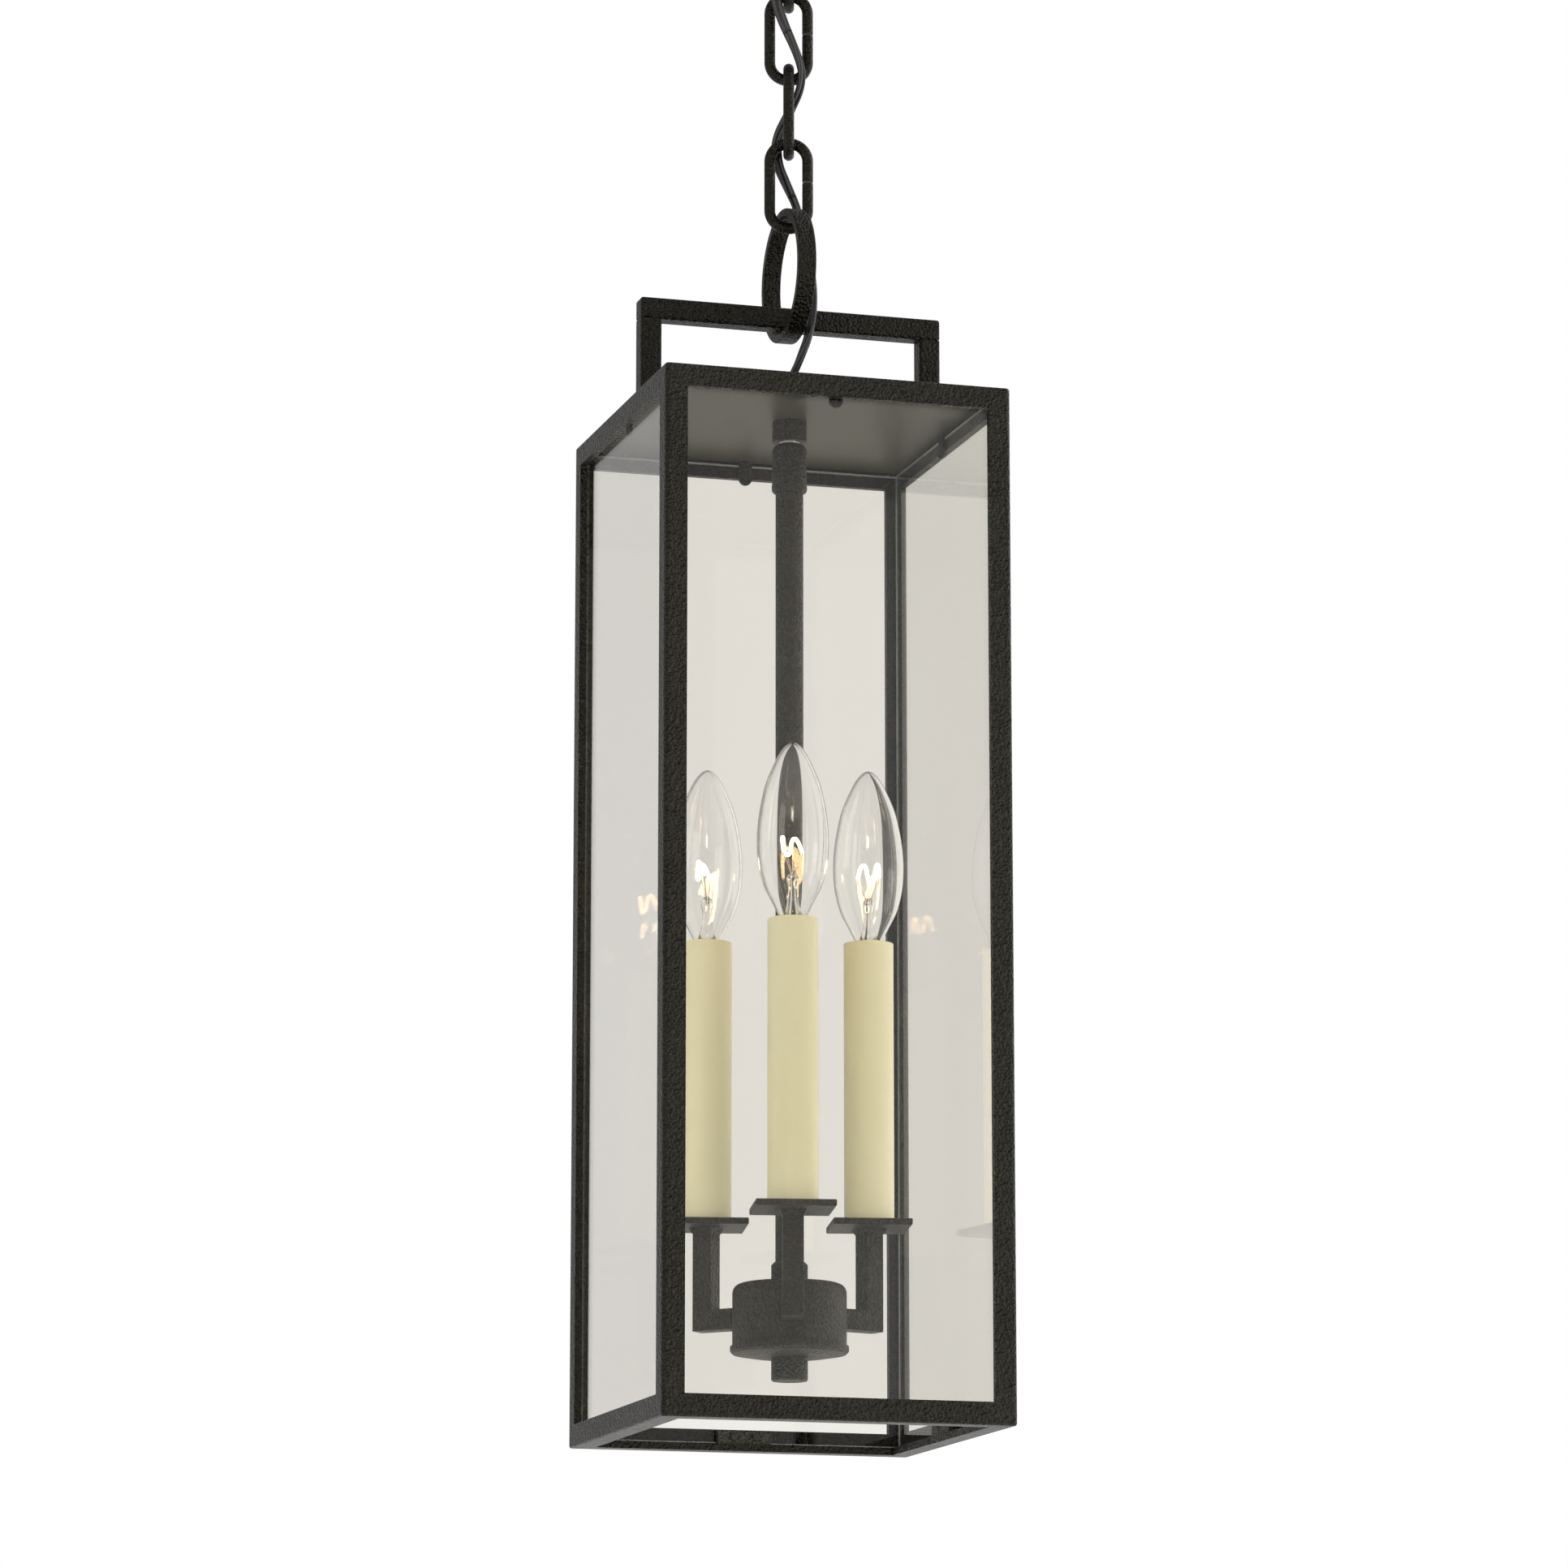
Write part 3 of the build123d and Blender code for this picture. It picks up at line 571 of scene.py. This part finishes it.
route_curve = bpy.data.curves.new("route", "CURVE")
route_curve.dimensions = "3D"
spline = route_curve.splines.new("NURBS")
spline.points.add(len(ROUTE) - 1)
for point, (along, behind, height) in zip(spline.points, ROUTE):
    place = right * along + back * behind
    point.co = (place.x, place.y, level(height), 1.0)
spline.order_u = 3
spline.use_endpoint_u = True
spline.resolution_u = 10
route_object = bpy.data.objects.new("route", route_curve)
scene.collection.objects.link(route_object)
route_mesh = bpy.data.meshes.new_from_object(route_object)
route_line = np.array([tuple(v.co) for v in route_mesh.vertices])
bpy.data.objects.remove(route_object)
bpy.data.meshes.remove(route_mesh)

CORE_R = 0.00132      # one of the flat lead's two cores, with its jacket
CORE_APART = 0.00122  # from the middle of the lead to a core's middle
EARTH_R = 0.0007      # bare earth wire
EARTH_OFF = 0.00165   # it lies in the groove between the cores
TWIST_PITCH = 0.16    # the flat lead turns once over this length


def twin_outline(sides=28):
    """The outline of a flat twin lead: two round cores side by side, with a groove between them."""
    outline = []
    for j in range(sides):
        t = 2 * math.pi * j / sides
        reach = CORE_APART * abs(math.cos(t))
        across = CORE_APART * math.sin(t)
        radius = reach + math.sqrt(CORE_R**2 - across**2)
        outline.append((radius * math.cos(t), radius * math.sin(t)))
    return outline


line, tangents, normals, binormals = transported(route_line)
steps = np.linalg.norm(np.diff(line, axis=0), axis=1)
travelled = np.concatenate([[0.0], np.cumsum(steps)])
turn = 2 * math.pi * travelled / TWIST_PITCH + 0.6
wide = normals * np.cos(turn)[:, None] + binormals * np.sin(turn)[:, None]
thin = np.cross(tangents, wide)

# Each stretch spans one joint of the chain, from one piece's middle to the next.
CUTS = [0.4874, 0.548, 0.59, 0.63, 0.668, 0.705, 0.784]
cut_at = [int(np.argmin(np.abs(line[:, 2] - level(height)))) for height in CUTS]
for k, (first, last) in enumerate(zip(cut_at, cut_at[1:])):
    part = slice(first, last + 1)
    verts, faces = swept(line[part], wide[part], thin[part], twin_outline())
    earth = ring_outline(EARTH_R, 8, (0.0, EARTH_OFF))
    more_verts, more_faces = swept(line[part], wide[part], thin[part], earth)
    faces += [tuple(index + len(verts) for index in face) for face in more_faces]
    stretch = put(f"cord_stretch_{k + 1}", verts + more_verts, faces)
    finish_piece(stretch, CORD_JACKET)
    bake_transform(stretch)
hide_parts("supply_cord")


# ---------------------------------------------------------------- bulbs

# Torpedo bulb outline, (radius, height over the screw base) in millimetres.
ENVELOPE = [
    (5.9, 0.0),
    (6.0, 2.2),
    (9.4, 9.2),
    (13.2, 16.9),
    (15.7, 26.5),
    (16.5, 36.1),
    (16.1, 45.7),
    (14.7, 55.2),
    (12.4, 64.8),
    (8.4, 74.4),
    (5.4, 79.9),
    (2.4, 83.1),
    (0.0, 84.0),
]
ENVELOPE_WALL = 0.7
# The glass foot inside, which carries the leads.
FOOT = [
    (5.0, 0.4),
    (4.7, 2.5),
    (3.4, 6.5),
    (2.5, 11.0),
    (2.2, 16.0),
    (2.7, 19.0),
    (2.8, 21.0),
    (1.6, 23.2),
    (0.0, 23.8),
]
# Wires inside, as (radius, turn in degrees, height): a lead and a support give only radius and height.
LEAD = [(1.1, 20.5), (1.6, 24), (3.2, 28), (4.9, 31.0), (5.3, 33.4)]
PROP = [(0.5, 21.5), (0.9, 25), (2.6, 31), (4.3, 37.0), (4.6, 39.6)]
COIL = [
    (5.3, 0, 33.2),
    (4.9, 28, 39.0),
    (4.6, 55, 39.4),
    (4.5, 74, 33.0),
    (4.5, 106, 33.0),
    (4.6, 125, 39.4),
    (4.9, 152, 39.0),
    (5.3, 180, 33.2),
]
LEAD_TURNS = (0, 180)
PROP_TURNS = (55, 125)
LEAD_R = 0.00024
PROP_R = 0.00013
COIL_R = 0.0008


def envelope_profile(rise, scale):
    """The envelope's closed section: up its outside and down its inside, in metres."""
    outer, inner = [], []
    for r, h in curved(ENVELOPE, 7):
        outer.append((r * MM, rise + h * MM * scale))
        wall_drop = ENVELOPE_WALL * 1.6 * h / ENVELOPE[-1][1]
        inner_r = max(r - ENVELOPE_WALL, 0.0) * MM
        if inner_r > 1e-6:
            inner.append((inner_r, rise + (h - wall_drop + 0.2) * MM * scale))
    inner.append((0.0, outer[-1][1] - 2 * ENVELOPE_WALL * MM))
    return outer + inner[::-1]


def bulb(n, turn):
    """One lit bulb: envelope, glass foot, leads with supports, and filament."""
    low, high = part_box(f"bulb_glass_{n}")
    centre = ((low.x + high.x) / 2, (low.y + high.y) / 2)
    rise = low.z
    body = f"bulb_{n}"
    scale = (high.z - low.z) / (ENVELOPE[-1][1] * MM)
    profile = envelope_profile(rise, scale)
    envelope = turned(f"bulb_envelope_{n}", profile, centre, 72, closed=True)
    finish_piece(envelope, BULB_GLASS)
    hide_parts(f"bulb_glass_{n}")

    foot_profile = [(0.0, rise + FOOT[0][1] * MM)]
    foot_profile += [(max(r, 0.0) * MM, rise + h * MM) for r, h in curved(FOOT, 5)]
    foot = turned(f"bulb_foot_{n}", foot_profile, centre, 40)
    finish_piece(foot, STEM_GLASS)

    def at(radius, angle, height):
        t = math.radians(angle + turn)
        x = centre[0] + radius * MM * math.cos(t)
        y = centre[1] + radius * MM * math.sin(t)
        return (x, y, rise + height * MM)

    wires = []
    for side in LEAD_TURNS:
        lead = curved([at(r, side, h) for r, h in LEAD], 5)
        wires.append(rod(f"bulb_lead_{n}_{side}", lead, LEAD_R, 8))
    for angle in PROP_TURNS:
        prop = curved([at(r, angle, h) for r, h in PROP], 5)
        wires.append(rod(f"bulb_prop_{n}_{angle}", prop, PROP_R, 6))
    coil = curved([at(*corner) for corner in COIL], 6)
    wires.append(rod(f"bulb_filament_{n}", coil, COIL_R, 8))
    for wire in wires:
        glowing = "filament" in wire.name
        finish_piece(wire, FILAMENT if glowing else WIRE_METAL)
    for piece in (envelope, foot, *wires):
        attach(piece, body)


for number, turn_degrees in ((1, 20), (2, -35), (3, 60)):
    bulb(number, turn_degrees)


# ---------------------------------------------------------------- floor, light

FLOOR_Z = -2.4
FLOOR_HALF = 14
signs = ((-1, -1), (1, -1), (1, 1), (-1, 1))
corners = [(FLOOR_HALF * x, FLOOR_HALF * y, FLOOR_Z) for x, y in signs]
floor = put("floor", corners, [(0, 1, 2, 3)])
floor_paint = plain_plastic("floor_paint", (0.86, 0.86, 0.85), (0.9, 0.9, 0.89), 0.7)
floor.data.materials.append(floor_paint)

scene.view_settings.view_transform = "Standard"
world = bpy.data.worlds.new("studio")
world.use_nodes = True
scene.world = world
tree = world.node_tree
background = tree.nodes["Background"]

# The room is bright at the sides and dimmer behind. Seen straight or through glass it is white.
direction = tree.nodes.new("ShaderNodeTexCoord").outputs["Generated"]
split = tree.nodes.new("ShaderNodeSeparateXYZ")
tree.links.new(direction, split.inputs["Vector"])


def world_math(kind, a, b, clamp=False):
    node = tree.nodes.new("ShaderNodeMath")
    node.operation = kind
    node.use_clamp = clamp
    for index, value in enumerate((a, b)):
        if isinstance(value, (int, float)):
            node.inputs[index].default_value = value
        else:
            tree.links.new(value, node.inputs[index])
    return node.outputs[0]


# How bright the room is in each direction, as matt surfaces gather it and as glossy ones mirror it.
FRONT, LEFT, RIGHT, BEHIND, ABOVE, BELOW = ("Y", -1), ("X", -1), ("X", 1), ("Y", 1), ("Z", 1), ("Z", -1)
MATT = {FRONT: 1.6, LEFT: 2.8, RIGHT: 4.2, BEHIND: 0.9, ABOVE: 0.4, BELOW: 1.4}
MIRRORED = {FRONT: 0.28, LEFT: 0.5, RIGHT: 2.2, BEHIND: 0.55, ABOVE: 0.3, BELOW: 0.4}


def room(strengths):
    """The room's light from the directions' strengths."""
    total = 0.0
    for (axis, sign), strength in strengths.items():
        facing = world_math("MAXIMUM", world_math("MULTIPLY", split.outputs[axis], sign), 0.0)
        share = world_math("MULTIPLY", world_math("POWER", facing, 2.0), strength)
        total = world_math("ADD", share, total)
    return total


def choose(switch, otherwise, chosen):
    """One strength when the switch is on, another when it is off."""
    node = tree.nodes.new("ShaderNodeMix")
    node.data_type = "FLOAT"
    tree.links.new(switch, node.inputs[0])
    for socket, value in ((node.inputs[2], otherwise), (node.inputs[3], chosen)):
        if isinstance(value, float):
            socket.default_value = value
        else:
            tree.links.new(value, socket)
    return node.outputs[0]


path = tree.nodes.new("ShaderNodeLightPath")
gathered = world_math("ADD", path.outputs["Diffuse Depth"], 0.0, True)
mirrored = world_math("ADD", path.outputs["Glossy Depth"], 0.0, True)
strength = choose(gathered, choose(mirrored, 1.0, room(MIRRORED)), room(MATT))
background.inputs["Color"].default_value = (1.0, 1.0, 1.0, 1.0)
tree.links.new(strength, background.inputs["Strength"])


def soft_light(name, place, target, size, power, colour=(1, 1, 1)):
    """A soft box that points at a target."""
    data = bpy.data.lights.new(name, "AREA")
    data.shape = "RECTANGLE"
    data.size, data.size_y = size
    data.energy = power
    data.color = colour
    lamp = bpy.data.objects.new(name, data)
    lamp.location = place
    lamp.rotation_euler = (Vector(target) - Vector(place)).to_track_quat("-Z", "Y").to_euler()
    lamp.visible_camera = False
    scene.collection.objects.link(lamp)


middle = (0, 0, level(0.25))
WIDE = (1.4, 1.8)
SMALL = (0.45, 0.45)
soft_light("key", (-2.4, -1.6, level(0.9)), middle, WIDE, 14.0, (1.0, 0.98, 0.95))
soft_light("fill", (2.6, -1.2, level(-0.2)), middle, WIDE, 14.0)
soft_light("glint", (-1.0, -3.0, level(1.7)), middle, SMALL, 16.0, (1.0, 0.98, 0.93))
